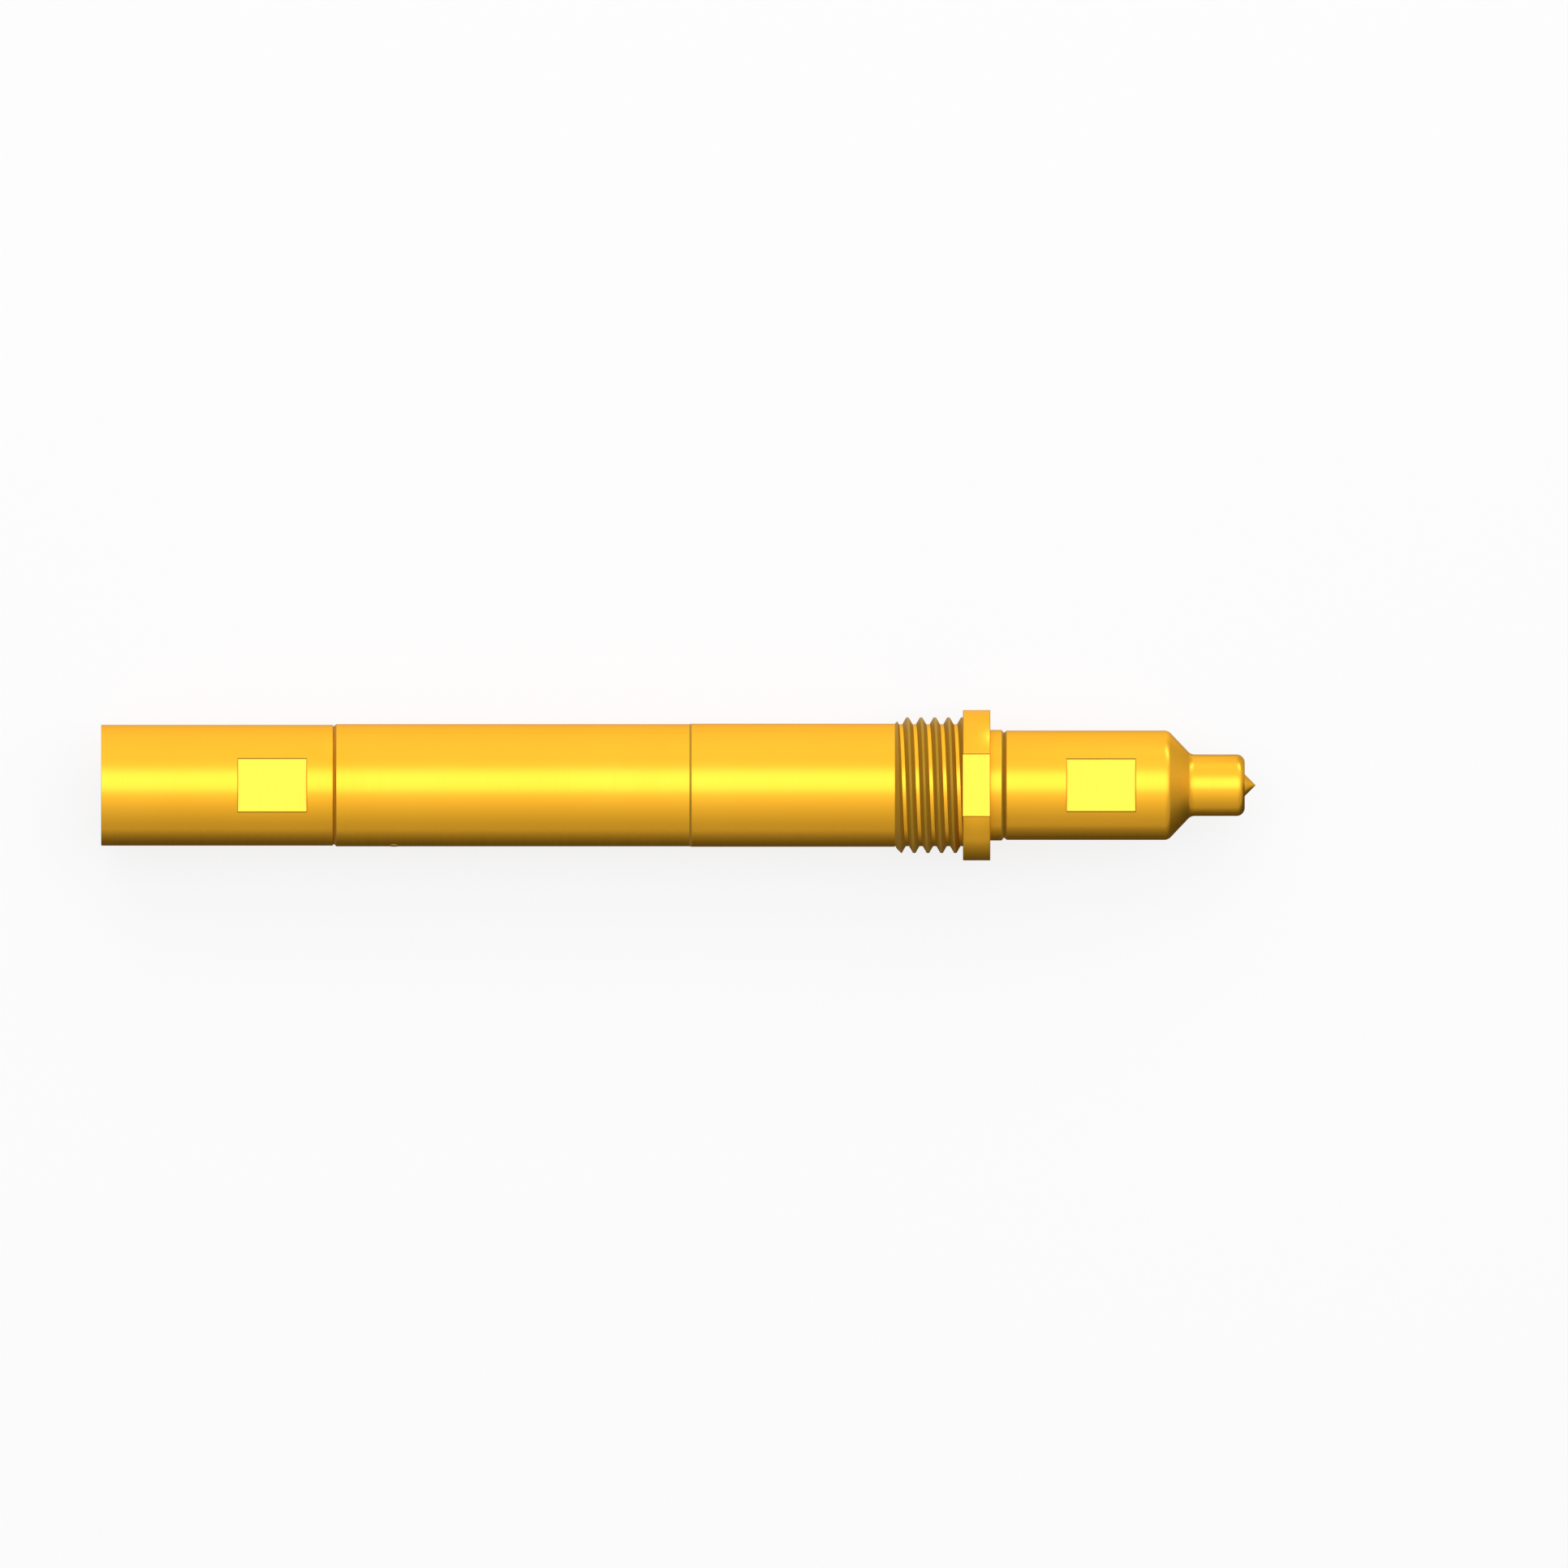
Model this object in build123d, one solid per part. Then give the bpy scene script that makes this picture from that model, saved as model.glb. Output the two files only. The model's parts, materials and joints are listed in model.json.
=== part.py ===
from build123d import *
import math
import os

# A spring-loaded coaxial test probe, in millimetres, lying on one of its wrench flats.
# X runs along the probe towards its contact tip, and X = 0 is the flange face that seats on the
# mounting plate. Z is up, and all wrench flats face up and down.

# Lengths along the probe
overall_length = 42.2
seat_to_tip = 10.7  # flange seat to the point of the contact pin
flange_length = 1.0
thread_length = 2.49  # M5 x 0.5, right-handed
shank_length = 10.0  # flange seat to the step behind the full barrel diameter
connector_length = 8.5
neck_length = 0.5  # flange to the joint between guide sleeve and head
head_body_length = 6.0  # joint to the sharp corner of the shoulder cone
shoulder_length = 0.83  # axial length of the shoulder cone

# Diameters and radial steps of the outside
barrel_dia = 4.5
thread_height = 0.23  # thread crest over the barrel, which makes the thread 4.96 across
flange_rim = 0.27  # flange over the thread crest, which makes the flange 5.5 across
flat_clearance = 0.02  # flange flats over the thread crest, which makes them 5 apart
relief_step = 0.015  # the barrel's tail is this much smaller in radius
connector_step = 0.025  # the connector is this much smaller in radius than the tail
nose_dia = 2.25
pin_dia = 0.8
pin_angle = 90.0  # included angle of the contact pin's point

# Wrench flats on the head and on the connector
head_flat_depth = 0.25  # leaves 3.5 across the flats
head_flat_offset = 2.3  # joint to the first edge of the flats
head_flat_length = 2.5
connector_flat_depth = 0.23  # leaves about 4 across the flats
connector_flat_offset = 1.0
connector_flat_length = 2.5

# Small edges of the outside
tail_edge_length = 0.1
tail_edge_depth = 0.08
connector_edge_length = 0.04
connector_edge_depth = 0.06
head_edge_length = 0.1
head_edge_depth = 0.08
neck_edge_length = 0.09
shoulder_radius = 0.3  # both ends of the shoulder cone
nose_edge_radius = 0.3
nose_edge_share = 0.9  # the most of the nose's wall that its rounded edge may take

# Walls and clearances, radial
barrel_wall = 0.185
slide_clearance = 0.025
head_clearance = 0.05
washer_clearance = 0.05
spring_clearance = 0.11

# Travel of the plunger in the barrel
plunger_travel = 4.0

# Guide sleeve and rear guide bush
sleeve_length = 6.5  # flange seat to the sleeve's rear end
bush_length = 4.0
bush_pin_dia = 0.4
bush_pin_offset = 2.2  # barrel's rear end to the pin
bush_pin_angle = 8.6  # degrees from straight sideways, turned upwards
bush_pin_depth = 0.4  # how deep it sits in the bush
bush_pin_proud = 0.012

# Return spring and its washers
washer_thickness = 0.25
spring_wire = 0.355
spring_pitch = 1.5
runs_per_turn = 12  # both springs are drawn in straight runs of six-sided wire, to keep their faces few
wire_sides = 6

# Coaxial line, in a core tube that leaves a ring for the return spring
core_tube_wall = 0.3
line_ratio = 2.303  # bore of the core tube over the inner conductor, for 50 ohm in air
key_depth = 0.075  # flats on the core tube that keep the plunger from turning
key_spare = 0.2
tube_in_head = 2.9  # joint to the core tube's front end
bead_length = 0.8
front_bead_offset = 2.4  # core tube's front end to the bead's middle
rear_bead_offset = 4.6
stub_dia = 0.6  # soldered stubs at both ends of the inner conductor
stub_length = 1.0
stub_gap = 0.1

# Nose: insulator, contact barrel, contact pin and its spring
insulator_flange_length = 2.2
nose_wall = 0.34
nose_recess = 0.12  # insulator and contact barrel lie this far behind the nose face
lip_length = 0.25
pin_clearance = 0.02
collar_step = 0.055
collar_length = 0.7
contact_wall = 0.075
contact_floor = 0.6
contact_spring_length = 2.3
contact_spring_wire = 0.1
contact_spring_pitch = 0.33
contact_spring_clearance = 0.03

# Rear connector: jack cavity, insulator and slotted centre contact
jack_depth = 4.1
jack_wall = 0.41
snap_groove_offset = 1.1  # mouth to the groove
snap_groove_length = 0.6
snap_groove_depth = 0.18
jack_mouth_length = 0.15
jack_mouth_depth = 0.12
tube_socket_depth = 2.6
socket_dia = 0.9
socket_bore = 0.52
socket_depth = 2.2
socket_recess = 1.25  # mouth to the end of the socket
socket_edge = 0.08
slot_width = 0.12
slot_length = 1.8

overrun = 1.0  # how far a cutter runs past what it cuts

# Places along X, worked out from the lengths
tip_x = seat_to_tip
point_length = pin_dia / 2 / math.tan(math.radians(pin_angle / 2))
nose_x = tip_x - point_length
head_x = flange_length + neck_length
shoulder_x = head_x + head_body_length
tube_front_x = head_x + tube_in_head
connector_end_x = tip_x - overall_length
barrel_end_x = connector_end_x + connector_length
bush_front_x = barrel_end_x + bush_length
sleeve_end_x = -sleeve_length
tube_end_x = barrel_end_x - tube_socket_depth
jack_floor_x = connector_end_x + jack_depth
inner_face_x = nose_x - nose_recess
lip_x = inner_face_x - lip_length
contact_spring_front_x = lip_x - collar_length
contact_floor_x = contact_spring_front_x - contact_spring_length
line_front_x = contact_floor_x - contact_floor
insulator_step_x = tube_front_x + insulator_flange_length

# Radii, worked out from the diameters and walls
barrel_r = barrel_dia / 2
thread_r = barrel_r + thread_height
flange_r = thread_r + flange_rim
tail_r = barrel_r - relief_step
connector_r = tail_r - connector_step
bore_r = tail_r - barrel_wall
head_r = bore_r - head_clearance
sleeve_r = bore_r - slide_clearance
joint_r = head_r - head_edge_depth
nose_r = nose_dia / 2
nose_bore_r = nose_r - nose_wall
pin_r = pin_dia / 2
lip_r = pin_r + pin_clearance
collar_r = pin_r + collar_step
contact_bore_r = collar_r + pin_clearance
contact_r = contact_bore_r + contact_wall
tube_r = bore_r - spring_wire - 2 * spring_clearance
line_bore_r = tube_r - core_tube_wall
line_r = line_bore_r / line_ratio
insulator_r = line_bore_r + core_tube_wall / 2
stub_r = stub_dia / 2
jack_r = connector_r - jack_wall


# A turned solid from an outline of (x, radius) points.
def turned(*points):
    return revolve(make_face(Polyline(*points, close=True)), Axis.X)


# A plain length of bar or, with a bore, of tube.
def round_bar(start, end, radius, bore=0.0):
    return turned((start, bore), (end, bore), (end, radius), (start, radius))


# The vertex of an outline that is nearest to a corner.
def corner(outline, x, radius):
    return outline.vertices().sort_by_distance((x, radius))[0]


# Two blocks that leave a pair of flats, facing up and down.
def flat_cutters(start, end, half_across, radius):
    height = radius + overrun - half_across
    block = Box(end - start, 2 * (radius + overrun), height)
    middle_x = (start + end) / 2
    middle_z = half_across + height / 2
    return Pos(middle_x, 0, middle_z) * block + Pos(middle_x, 0, -middle_z) * block


# A coil spring between two faces. It is wound a quarter turn too long at each end and ground flat.
def coil_spring(start, end, mean_r, wire, pitch):
    runs = max(1, round((end - start) / pitch)) * runs_per_turn
    run_length = (end - start) / runs
    run_angle = 2 * math.pi / runs_per_turn
    spare_runs = math.ceil(runs_per_turn / 4)
    path = Polyline(
        *[
            (start + run * run_length, mean_r * math.cos(run * run_angle), mean_r * math.sin(run * run_angle))
            for run in range(-spare_runs, runs + spare_runs + 1)
        ]
    )
    section = Plane(origin=path @ 0, z_dir=path % 0) * RegularPolygon(wire / 2, wire_sides)
    wound = sweep(section, path, transition=Transition.RIGHT)
    return wound & round_bar(start, end, mean_r + wire)


# Barrel: tail, shank, thread blank and flange in one turned piece, bored right through.
def make_barrel():
    thread_end_x = -thread_length
    body = turned(
        (barrel_end_x, bore_r),
        (barrel_end_x, tail_r - tail_edge_depth),
        (barrel_end_x + tail_edge_length, tail_r),
        (-shank_length, tail_r),
        (-shank_length, barrel_r),
        (thread_end_x, barrel_r),
        (thread_end_x + thread_height, thread_r),
        (0, thread_r),
        (0, flange_r),
        (flange_length, flange_r),
        (flange_length, bore_r),
    )
    body -= flat_cutters(0, flange_length + overrun, thread_r + flat_clearance, flange_r)
    return body - pin_hole()


# Hole for the bush pin, through the barrel wall and into the bush.
def pin_hole():
    return radial_bar(bush_pin_dia / 2, bore_r - bush_pin_depth, tail_r + overrun)


# A bar across the barrel at the bush pin's place, between two radii.
def radial_bar(radius, inner, outer):
    outwards = Plane(
        origin=(barrel_end_x + bush_pin_offset, 0, 0),
        x_dir=(1, 0, 0),
        z_dir=(0, -math.cos(math.radians(bush_pin_angle)), math.sin(math.radians(bush_pin_angle))),
    )
    return outwards * Pos(0, 0, (inner + outer) / 2) * Cylinder(radius, outer - inner)


# Bush pin: locks the bush in the barrel, and its outer end stands a little proud.
def make_bush_pin():
    return radial_bar(bush_pin_dia / 2, bore_r - bush_pin_depth, tail_r + bush_pin_proud)


# Rear guide bush: pressed into the barrel, with a double-D bore that the core tube slides in.
def make_rear_guide_bush():
    bush = round_bar(barrel_end_x, bush_front_x, bore_r)
    keyed_bore = round_bar(barrel_end_x - overrun, bush_front_x + overrun, tube_r + slide_clearance)
    half_across = tube_r - key_depth + slide_clearance
    keyed_bore -= flat_cutters(barrel_end_x - overrun, bush_front_x + overrun, half_across, tube_r)
    return bush - keyed_bore - pin_hole()


# Thrust washers at the two ends of the return spring.
def make_spring_washer(start):
    return round_bar(start, start + washer_thickness, bore_r - washer_clearance, tube_r + washer_clearance)


# Return spring: fills the ring between core tube and barrel, from washer to washer.
def make_return_spring():
    start = bush_front_x + washer_thickness
    end = sleeve_end_x - washer_thickness
    return coil_spring(start, end, (tube_r + bore_r) / 2, spring_wire, spring_pitch)


# Guide sleeve: slides in the barrel's bore, and its chamfered front end shows as the probe's neck.
def make_guide_sleeve():
    return turned(
        (sleeve_end_x, tube_r),
        (sleeve_end_x, sleeve_r),
        (head_x - neck_edge_length, sleeve_r),
        (head_x, joint_r),
        (head_x, tube_r),
    )


# Plunger head: cylinder with flats, shoulder cone and nose, bored in steps from the rear.
def make_plunger_head():
    nose_start_x = shoulder_x + shoulder_length
    outline = make_face(
        Polyline(
            (head_x, tube_r),
            (head_x, joint_r),
            (head_x + head_edge_length, head_r),
            (shoulder_x, head_r),
            (nose_start_x, nose_r),
            (nose_x, nose_r),
            (nose_x, nose_bore_r),
            (insulator_step_x, nose_bore_r),
            (insulator_step_x, insulator_r),
            (tube_front_x, insulator_r),
            (tube_front_x, tube_r),
            close=True,
        )
    )
    outline = fillet(corner(outline, shoulder_x, head_r), shoulder_radius)
    outline = fillet(corner(outline, nose_start_x, nose_r), shoulder_radius)
    outline = fillet(corner(outline, nose_x, nose_r), min(nose_edge_radius, nose_wall * nose_edge_share))
    head = revolve(outline, Axis.X)
    flats_x = head_x + head_flat_offset
    return head - flat_cutters(flats_x, flats_x + head_flat_length, head_r - head_flat_depth, head_r)


# Core tube: the line's outer conductor, with two key flats where it runs in the bush.
def make_core_tube():
    tube = round_bar(tube_end_x, tube_front_x, tube_r, line_bore_r)
    key_end_x = bush_front_x + plunger_travel + key_spare
    return tube - flat_cutters(barrel_end_x, key_end_x, tube_r - key_depth, tube_r)


# Middles of the three support beads, from the rear to the front.
def bead_places():
    rear = tube_end_x + rear_bead_offset
    front = tube_front_x - front_bead_offset
    return {"rear": rear, "middle": (rear + front) / 2, "front": front}


# Inner conductor: a rod with a drilled hole at each end.
def make_inner_conductor():
    hole_depth = stub_length + stub_gap
    rod = round_bar(tube_end_x, line_front_x, line_r)
    rod -= round_bar(tube_end_x - overrun, tube_end_x + hole_depth, stub_r)
    return rod - round_bar(line_front_x - hole_depth, line_front_x + overrun, stub_r)


# Support bead: a ring pressed on the rod, which fills the tube.
def make_support_bead(middle):
    half = bead_length / 2
    return round_bar(middle - half, middle + half, line_bore_r, line_r)


# Front insulator: its flange is held between the core tube and a step in the head.
def make_front_insulator():
    return turned(
        (tube_front_x, line_r),
        (tube_front_x, insulator_r),
        (insulator_step_x, insulator_r),
        (insulator_step_x, nose_bore_r),
        (inner_face_x, nose_bore_r),
        (inner_face_x, contact_r),
        (line_front_x, contact_r),
        (line_front_x, line_r),
    )


# Contact barrel: a deep bored cup with a lip that keeps the pin in, and a stub at the rear.
def make_contact_barrel():
    return turned(
        (line_front_x - stub_length, 0),
        (line_front_x - stub_length, stub_r),
        (line_front_x, stub_r),
        (line_front_x, contact_r),
        (inner_face_x, contact_r),
        (inner_face_x, lip_r),
        (lip_x, lip_r),
        (lip_x, contact_bore_r),
        (contact_floor_x, contact_bore_r),
        (contact_floor_x, 0),
    )


# Contact pin: pointed shaft with a collar behind the contact barrel's lip.
def make_contact_pin():
    return turned(
        (contact_spring_front_x, 0),
        (contact_spring_front_x, collar_r),
        (lip_x, collar_r),
        (lip_x, pin_r),
        (nose_x, pin_r),
        (tip_x, 0),
    )


# Contact spring: between the contact barrel's floor and the pin's collar.
def make_contact_spring():
    mean_r = contact_bore_r - contact_spring_clearance - contact_spring_wire / 2
    return coil_spring(
        contact_floor_x, contact_spring_front_x, mean_r, contact_spring_wire, contact_spring_pitch
    )


# Connector shell: jack cavity with a snap groove at the rear, socket for the core tube in front.
def make_connector_shell():
    groove_x = connector_end_x + snap_groove_offset
    shell = turned(
        (connector_end_x, jack_r + jack_mouth_depth),
        (connector_end_x, connector_r),
        (barrel_end_x - connector_edge_length, connector_r),
        (barrel_end_x, connector_r - connector_edge_depth),
        (barrel_end_x, tube_r),
        (jack_floor_x, tube_r),
        (jack_floor_x, jack_r),
        (groove_x + snap_groove_length, jack_r),
        (groove_x + snap_groove_length, jack_r + snap_groove_depth),
        (groove_x, jack_r + snap_groove_depth),
        (groove_x, jack_r),
        (connector_end_x + jack_mouth_length, jack_r),
    )
    flats_x = barrel_end_x - connector_flat_offset
    half_across = connector_r - connector_flat_depth
    return shell - flat_cutters(flats_x - connector_flat_length, flats_x, half_across, connector_r)


# Connector insulator: carries the centre contact, and seats on the core tube's rear end.
def make_connector_insulator():
    return round_bar(jack_floor_x, tube_end_x, tube_r, stub_r)


# Centre contact: a socket with four spring fingers, on a stem through the insulator.
def make_centre_contact():
    socket_end_x = connector_end_x + socket_recess
    socket_r = socket_dia / 2
    bore = socket_bore / 2
    contact = turned(
        (socket_end_x, bore),
        (socket_end_x, socket_r - socket_edge),
        (socket_end_x + socket_edge, socket_r),
        (jack_floor_x, socket_r),
        (jack_floor_x, stub_r),
        (tube_end_x + stub_length, stub_r),
        (tube_end_x + stub_length, 0),
        (socket_end_x + socket_depth, 0),
        (socket_end_x + socket_depth, bore),
    )
    slot = Box(slot_length + overrun, socket_dia + overrun, slot_width)
    slot = Pos(socket_end_x + (slot_length - overrun) / 2, 0, 0) * slot
    return contact - slot - Rot(90, 0, 0) * slot


def make_nodes():
    nodes = {
        "barrel": make_barrel(),
        "rear_guide_bush": make_rear_guide_bush(),
        "bush_pin": make_bush_pin(),
        "spring_washer_rear": make_spring_washer(bush_front_x),
        "spring_washer_front": make_spring_washer(sleeve_end_x - washer_thickness),
        "return_spring": make_return_spring(),
        "guide_sleeve": make_guide_sleeve(),
        "plunger_head": make_plunger_head(),
        "core_tube": make_core_tube(),
        "inner_conductor": make_inner_conductor(),
        "front_insulator": make_front_insulator(),
        "contact_barrel": make_contact_barrel(),
        "contact_pin": make_contact_pin(),
        "contact_spring": make_contact_spring(),
        "connector_shell": make_connector_shell(),
        "connector_insulator": make_connector_insulator(),
        "centre_contact": make_centre_contact(),
    }
    for place, middle in bead_places().items():
        nodes["support_bead_" + place] = make_support_bead(middle)
    return nodes


os.makedirs("parts", exist_ok=True)
for name, solid in make_nodes().items():
    export_step(solid, "parts/" + name + ".step")
    print(name, round(solid.volume, 4))
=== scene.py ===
import json
import math

import bmesh
import bpy
from mathutils import Matrix, Vector


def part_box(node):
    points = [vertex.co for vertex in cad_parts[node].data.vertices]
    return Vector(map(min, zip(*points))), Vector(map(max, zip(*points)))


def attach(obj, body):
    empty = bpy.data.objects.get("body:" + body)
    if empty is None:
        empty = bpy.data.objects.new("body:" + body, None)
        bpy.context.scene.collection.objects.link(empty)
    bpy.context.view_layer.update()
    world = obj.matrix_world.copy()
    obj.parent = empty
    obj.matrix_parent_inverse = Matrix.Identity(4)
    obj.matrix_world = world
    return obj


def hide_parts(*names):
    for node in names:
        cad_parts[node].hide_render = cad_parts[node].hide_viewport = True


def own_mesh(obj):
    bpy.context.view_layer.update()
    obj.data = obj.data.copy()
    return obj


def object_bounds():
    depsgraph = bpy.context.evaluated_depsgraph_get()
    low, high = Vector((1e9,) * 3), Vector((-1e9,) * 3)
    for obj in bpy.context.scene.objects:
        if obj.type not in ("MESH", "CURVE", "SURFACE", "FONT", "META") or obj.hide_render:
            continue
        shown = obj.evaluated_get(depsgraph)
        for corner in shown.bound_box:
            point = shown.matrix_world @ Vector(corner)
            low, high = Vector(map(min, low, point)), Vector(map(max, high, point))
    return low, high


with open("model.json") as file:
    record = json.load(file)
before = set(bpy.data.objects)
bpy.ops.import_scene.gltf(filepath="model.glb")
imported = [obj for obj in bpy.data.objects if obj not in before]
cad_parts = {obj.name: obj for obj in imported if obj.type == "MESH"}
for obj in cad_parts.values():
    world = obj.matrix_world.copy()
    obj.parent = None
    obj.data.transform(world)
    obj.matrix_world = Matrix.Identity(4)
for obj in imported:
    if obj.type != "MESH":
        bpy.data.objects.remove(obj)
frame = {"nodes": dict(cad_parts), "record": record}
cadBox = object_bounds()
print("frame loaded with", len(frame["nodes"]), "nodes")

# Pieces are shaped in millimetres and brought to metres when they are finished.
mm = 0.001
axisX = (1, 0, 0)


# Ends of a CAD node along the probe, in millimetres
def ends(node):
    low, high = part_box(node)
    return low.x / mm, high.x / mm


# Half of a CAD node's width, in millimetres
def halfWidth(node):
    low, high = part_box(node)
    return (high.y - low.y) / 2 / mm


# Finishes

noiseRange = (0.3, 0.7)  # where most of a noise texture lies


def startMaterial(name):
    material = bpy.data.materials.new(name)
    material.use_nodes = True
    nodes = material.node_tree.nodes
    shader = nodes["Principled BSDF"]
    coordinates = nodes.new("ShaderNodeTexCoord")
    return material, nodes, material.node_tree.links, shader, coordinates.outputs["Object"]


def noise(nodes, links, vector, size, detail, flat=False):
    texture = nodes.new("ShaderNodeTexNoise")
    texture.noise_dimensions = "2D" if flat else "3D"
    texture.inputs["Scale"].default_value = 1 / (size * mm)
    texture.inputs["Detail"].default_value = detail
    links.new(vector, texture.inputs["Vector"])
    return texture.outputs["Fac"]


def spread(nodes, links, value, low, high):
    ranged = nodes.new("ShaderNodeMapRange")
    ranged.inputs["From Min"].default_value = noiseRange[0]
    ranged.inputs["From Max"].default_value = noiseRange[1]
    ranged.inputs["To Min"].default_value = low
    ranged.inputs["To Max"].default_value = high
    links.new(value, ranged.inputs["Value"])
    return ranged.outputs["Result"]


# The Mix node's colours are its inputs 6 and 7 and its output 2.
def mixColour(nodes, links, factor, first, second):
    mix = nodes.new("ShaderNodeMix")
    mix.data_type = "RGBA"
    mix.inputs[6].default_value = (*first, 1)
    mix.inputs[7].default_value = (*second, 1)
    links.new(factor, mix.inputs[0])
    return mix.outputs[2]


def stretch(nodes, links, vector, scale):
    mapping = nodes.new("ShaderNodeMapping")
    mapping.inputs["Scale"].default_value = scale
    links.new(vector, mapping.inputs["Vector"])
    return mapping.outputs["Vector"]


# Place along the axis and distance from it, so that marks run round the piece and in rings on its ends
def turnedPlace(nodes, links, place):
    parts = nodes.new("ShaderNodeSeparateXYZ")
    links.new(place, parts.inputs["Vector"])
    across = nodes.new("ShaderNodeCombineXYZ")
    links.new(parts.outputs["Y"], across.inputs["Y"])
    links.new(parts.outputs["Z"], across.inputs["Z"])
    distance = nodes.new("ShaderNodeVectorMath")
    distance.operation = "LENGTH"
    links.new(across.outputs["Vector"], distance.inputs[0])
    turned = nodes.new("ShaderNodeCombineXYZ")
    links.new(parts.outputs["X"], turned.inputs["X"])
    links.new(distance.outputs["Value"], turned.inputs["Y"])
    return turned.outputs["Vector"]


# A cloudy colour between a finish's two shades
def addColour(nodes, links, shader, place, look, detail=3):
    cloud = noise(nodes, links, place, look["patch"], detail)
    links.new(mixColour(nodes, links, cloud, look["deep"], look["light"]), shader.inputs["Base Color"])


# Fine marks, which show in the gloss and as relief
def addMarks(nodes, links, shader, marks, look):
    links.new(spread(nodes, links, marks, *look["roughness"]), shader.inputs["Roughness"])
    bump = nodes.new("ShaderNodeBump")
    bump.inputs["Strength"].default_value = look["markStrength"]
    bump.inputs["Distance"].default_value = look["markDepth"] * mm
    links.new(marks, bump.inputs["Height"])
    links.new(bump.outputs["Normal"], shader.inputs["Normal"])


# A turned surface, with the marks that the cutting tool leaves
def startTurned(name, look, markDetail=3):
    material, nodes, links, shader, place = startMaterial(name)
    addColour(nodes, links, shader, place, look)
    turned = turnedPlace(nodes, links, place)
    marks = noise(nodes, links, turned, look["markSpacing"], markDetail, flat=True)
    addMarks(nodes, links, shader, marks, look)
    return material, shader


goldFinish = {
    "deep": (0.96, 0.465, 0.028),
    "light": (1.0, 0.505, 0.038),
    "edgeTint": (1.0, 0.82, 0.5),
    "roughness": (0.3, 0.36),
    "patch": 3.5,  # millimetres
    "markSpacing": 0.05,
    "markDepth": 0.0012,
    "markStrength": 0.5,
}


# Gold plating over turned brass
def makeTurnedGold():
    material, shader = startTurned("turnedGold", goldFinish)
    shader.inputs["Metallic"].default_value = 1.0
    shader.inputs["Specular Tint"].default_value = (*goldFinish["edgeTint"], 1)
    return material


milledHighlitFinish = {
    "deep": (0.96, 0.475, 0.041),
    "light": (1.0, 0.5, 0.049),
    "roughness": (0.26, 0.3),
    "patch": 3.5,
    "markSpacing": 0.06,
    "markRun": 12.0,  # marks are this many times longer than wide
    "markDepth": 0.0008,
    "markStrength": 0.35,
}


# The same plating over a milled flat, whose fine marks run straight across; its colour is a little
# paler and bluer than the turned gold, a painted highlight tint for the upward flats
def makeMilledHighlitGold():
    look = milledHighlitFinish
    material, nodes, links, shader, place = startMaterial("milledHighlitGold")
    addColour(nodes, links, shader, place, look)
    across = stretch(nodes, links, place, (1, 1 / look["markRun"], 1 / look["markRun"]))
    addMarks(nodes, links, shader, noise(nodes, links, across, look["markSpacing"], detail=2), look)
    shader.inputs["Metallic"].default_value = 1.0
    shader.inputs["Specular Tint"].default_value = (*goldFinish["edgeTint"], 1)
    return material


shadedCutFinish = {
    "deep": (0.37, 0.198, 0.01),
    "light": (0.44, 0.235, 0.016),
    "metal": 0.25,
    "gloss": 0.3,
    "glossTint": (1.0, 0.82, 0.5),
    "roughness": (0.42, 0.52),
    "patch": 1.2,
    "markSpacing": 0.03,
    "markDepth": 0.0014,
    "markStrength": 0.6,
}


# Dull, dark gold on die-cut flanks, narrow chamfers and broken edges: partly a duller cut finish, and
# partly painted shade, as its dark colour stands for shade in the thread's grooves and dark lines along
# edges
def makeShadedCutGold():
    material, shader = startTurned("shadedCutGold", shadedCutFinish)
    shader.inputs["Metallic"].default_value = shadedCutFinish["metal"]
    shader.inputs["Specular IOR Level"].default_value = shadedCutFinish["gloss"]
    shader.inputs["Specular Tint"].default_value = (*shadedCutFinish["glossTint"], 1)
    return material


brassFinish = {
    "deep": (0.6, 0.35, 0.08),
    "light": (0.72, 0.44, 0.115),
    "edgeTint": (1.0, 0.85, 0.55),
    "roughness": (0.3, 0.4),
    "patch": 2.0,
    "markSpacing": 0.06,
    "markDepth": 0.0016,
    "markStrength": 0.6,
}


# Turned brass with no plating, a little duller
def makeBareBrass():
    material, shader = startTurned("bareBrass", brassFinish)
    shader.inputs["Metallic"].default_value = 1.0
    shader.inputs["Specular Tint"].default_value = (*brassFinish["edgeTint"], 1)
    return material


steelFinish = {
    "deep": (0.42, 0.42, 0.43),
    "light": (0.56, 0.56, 0.57),
    "roughness": (0.24, 0.38),
    "patch": 0.8,
    "markSpacing": 0.05,
    "markDepth": 0.001,
    "markStrength": 0.4,
}


# Drawn spring wire
def makeSpringSteel():
    look = steelFinish
    material, nodes, links, shader, place = startMaterial("springSteel")
    addColour(nodes, links, shader, place, look, detail=4)
    addMarks(nodes, links, shader, noise(nodes, links, place, look["markSpacing"], detail=3), look)
    shader.inputs["Metallic"].default_value = 1.0
    return material


insulatorFinish = {
    "deep": (0.76, 0.75, 0.71),
    "light": (0.86, 0.855, 0.82),
    "roughness": (0.42, 0.55),
    "patch": 0.9,
    "markSpacing": 0.07,
    "markDepth": 0.0015,
    "markStrength": 0.35,
    "softness": 0.25,
    "softReach": 0.2,  # millimetres that light travels inside
}


# White waxy insulator, cut from rod
def makeWhiteInsulator():
    material, shader = startTurned("whiteInsulator", insulatorFinish, markDetail=2)
    shader.inputs["Subsurface Weight"].default_value = insulatorFinish["softness"]
    shader.inputs["Subsurface Scale"].default_value = insulatorFinish["softReach"] * mm
    return material


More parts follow.
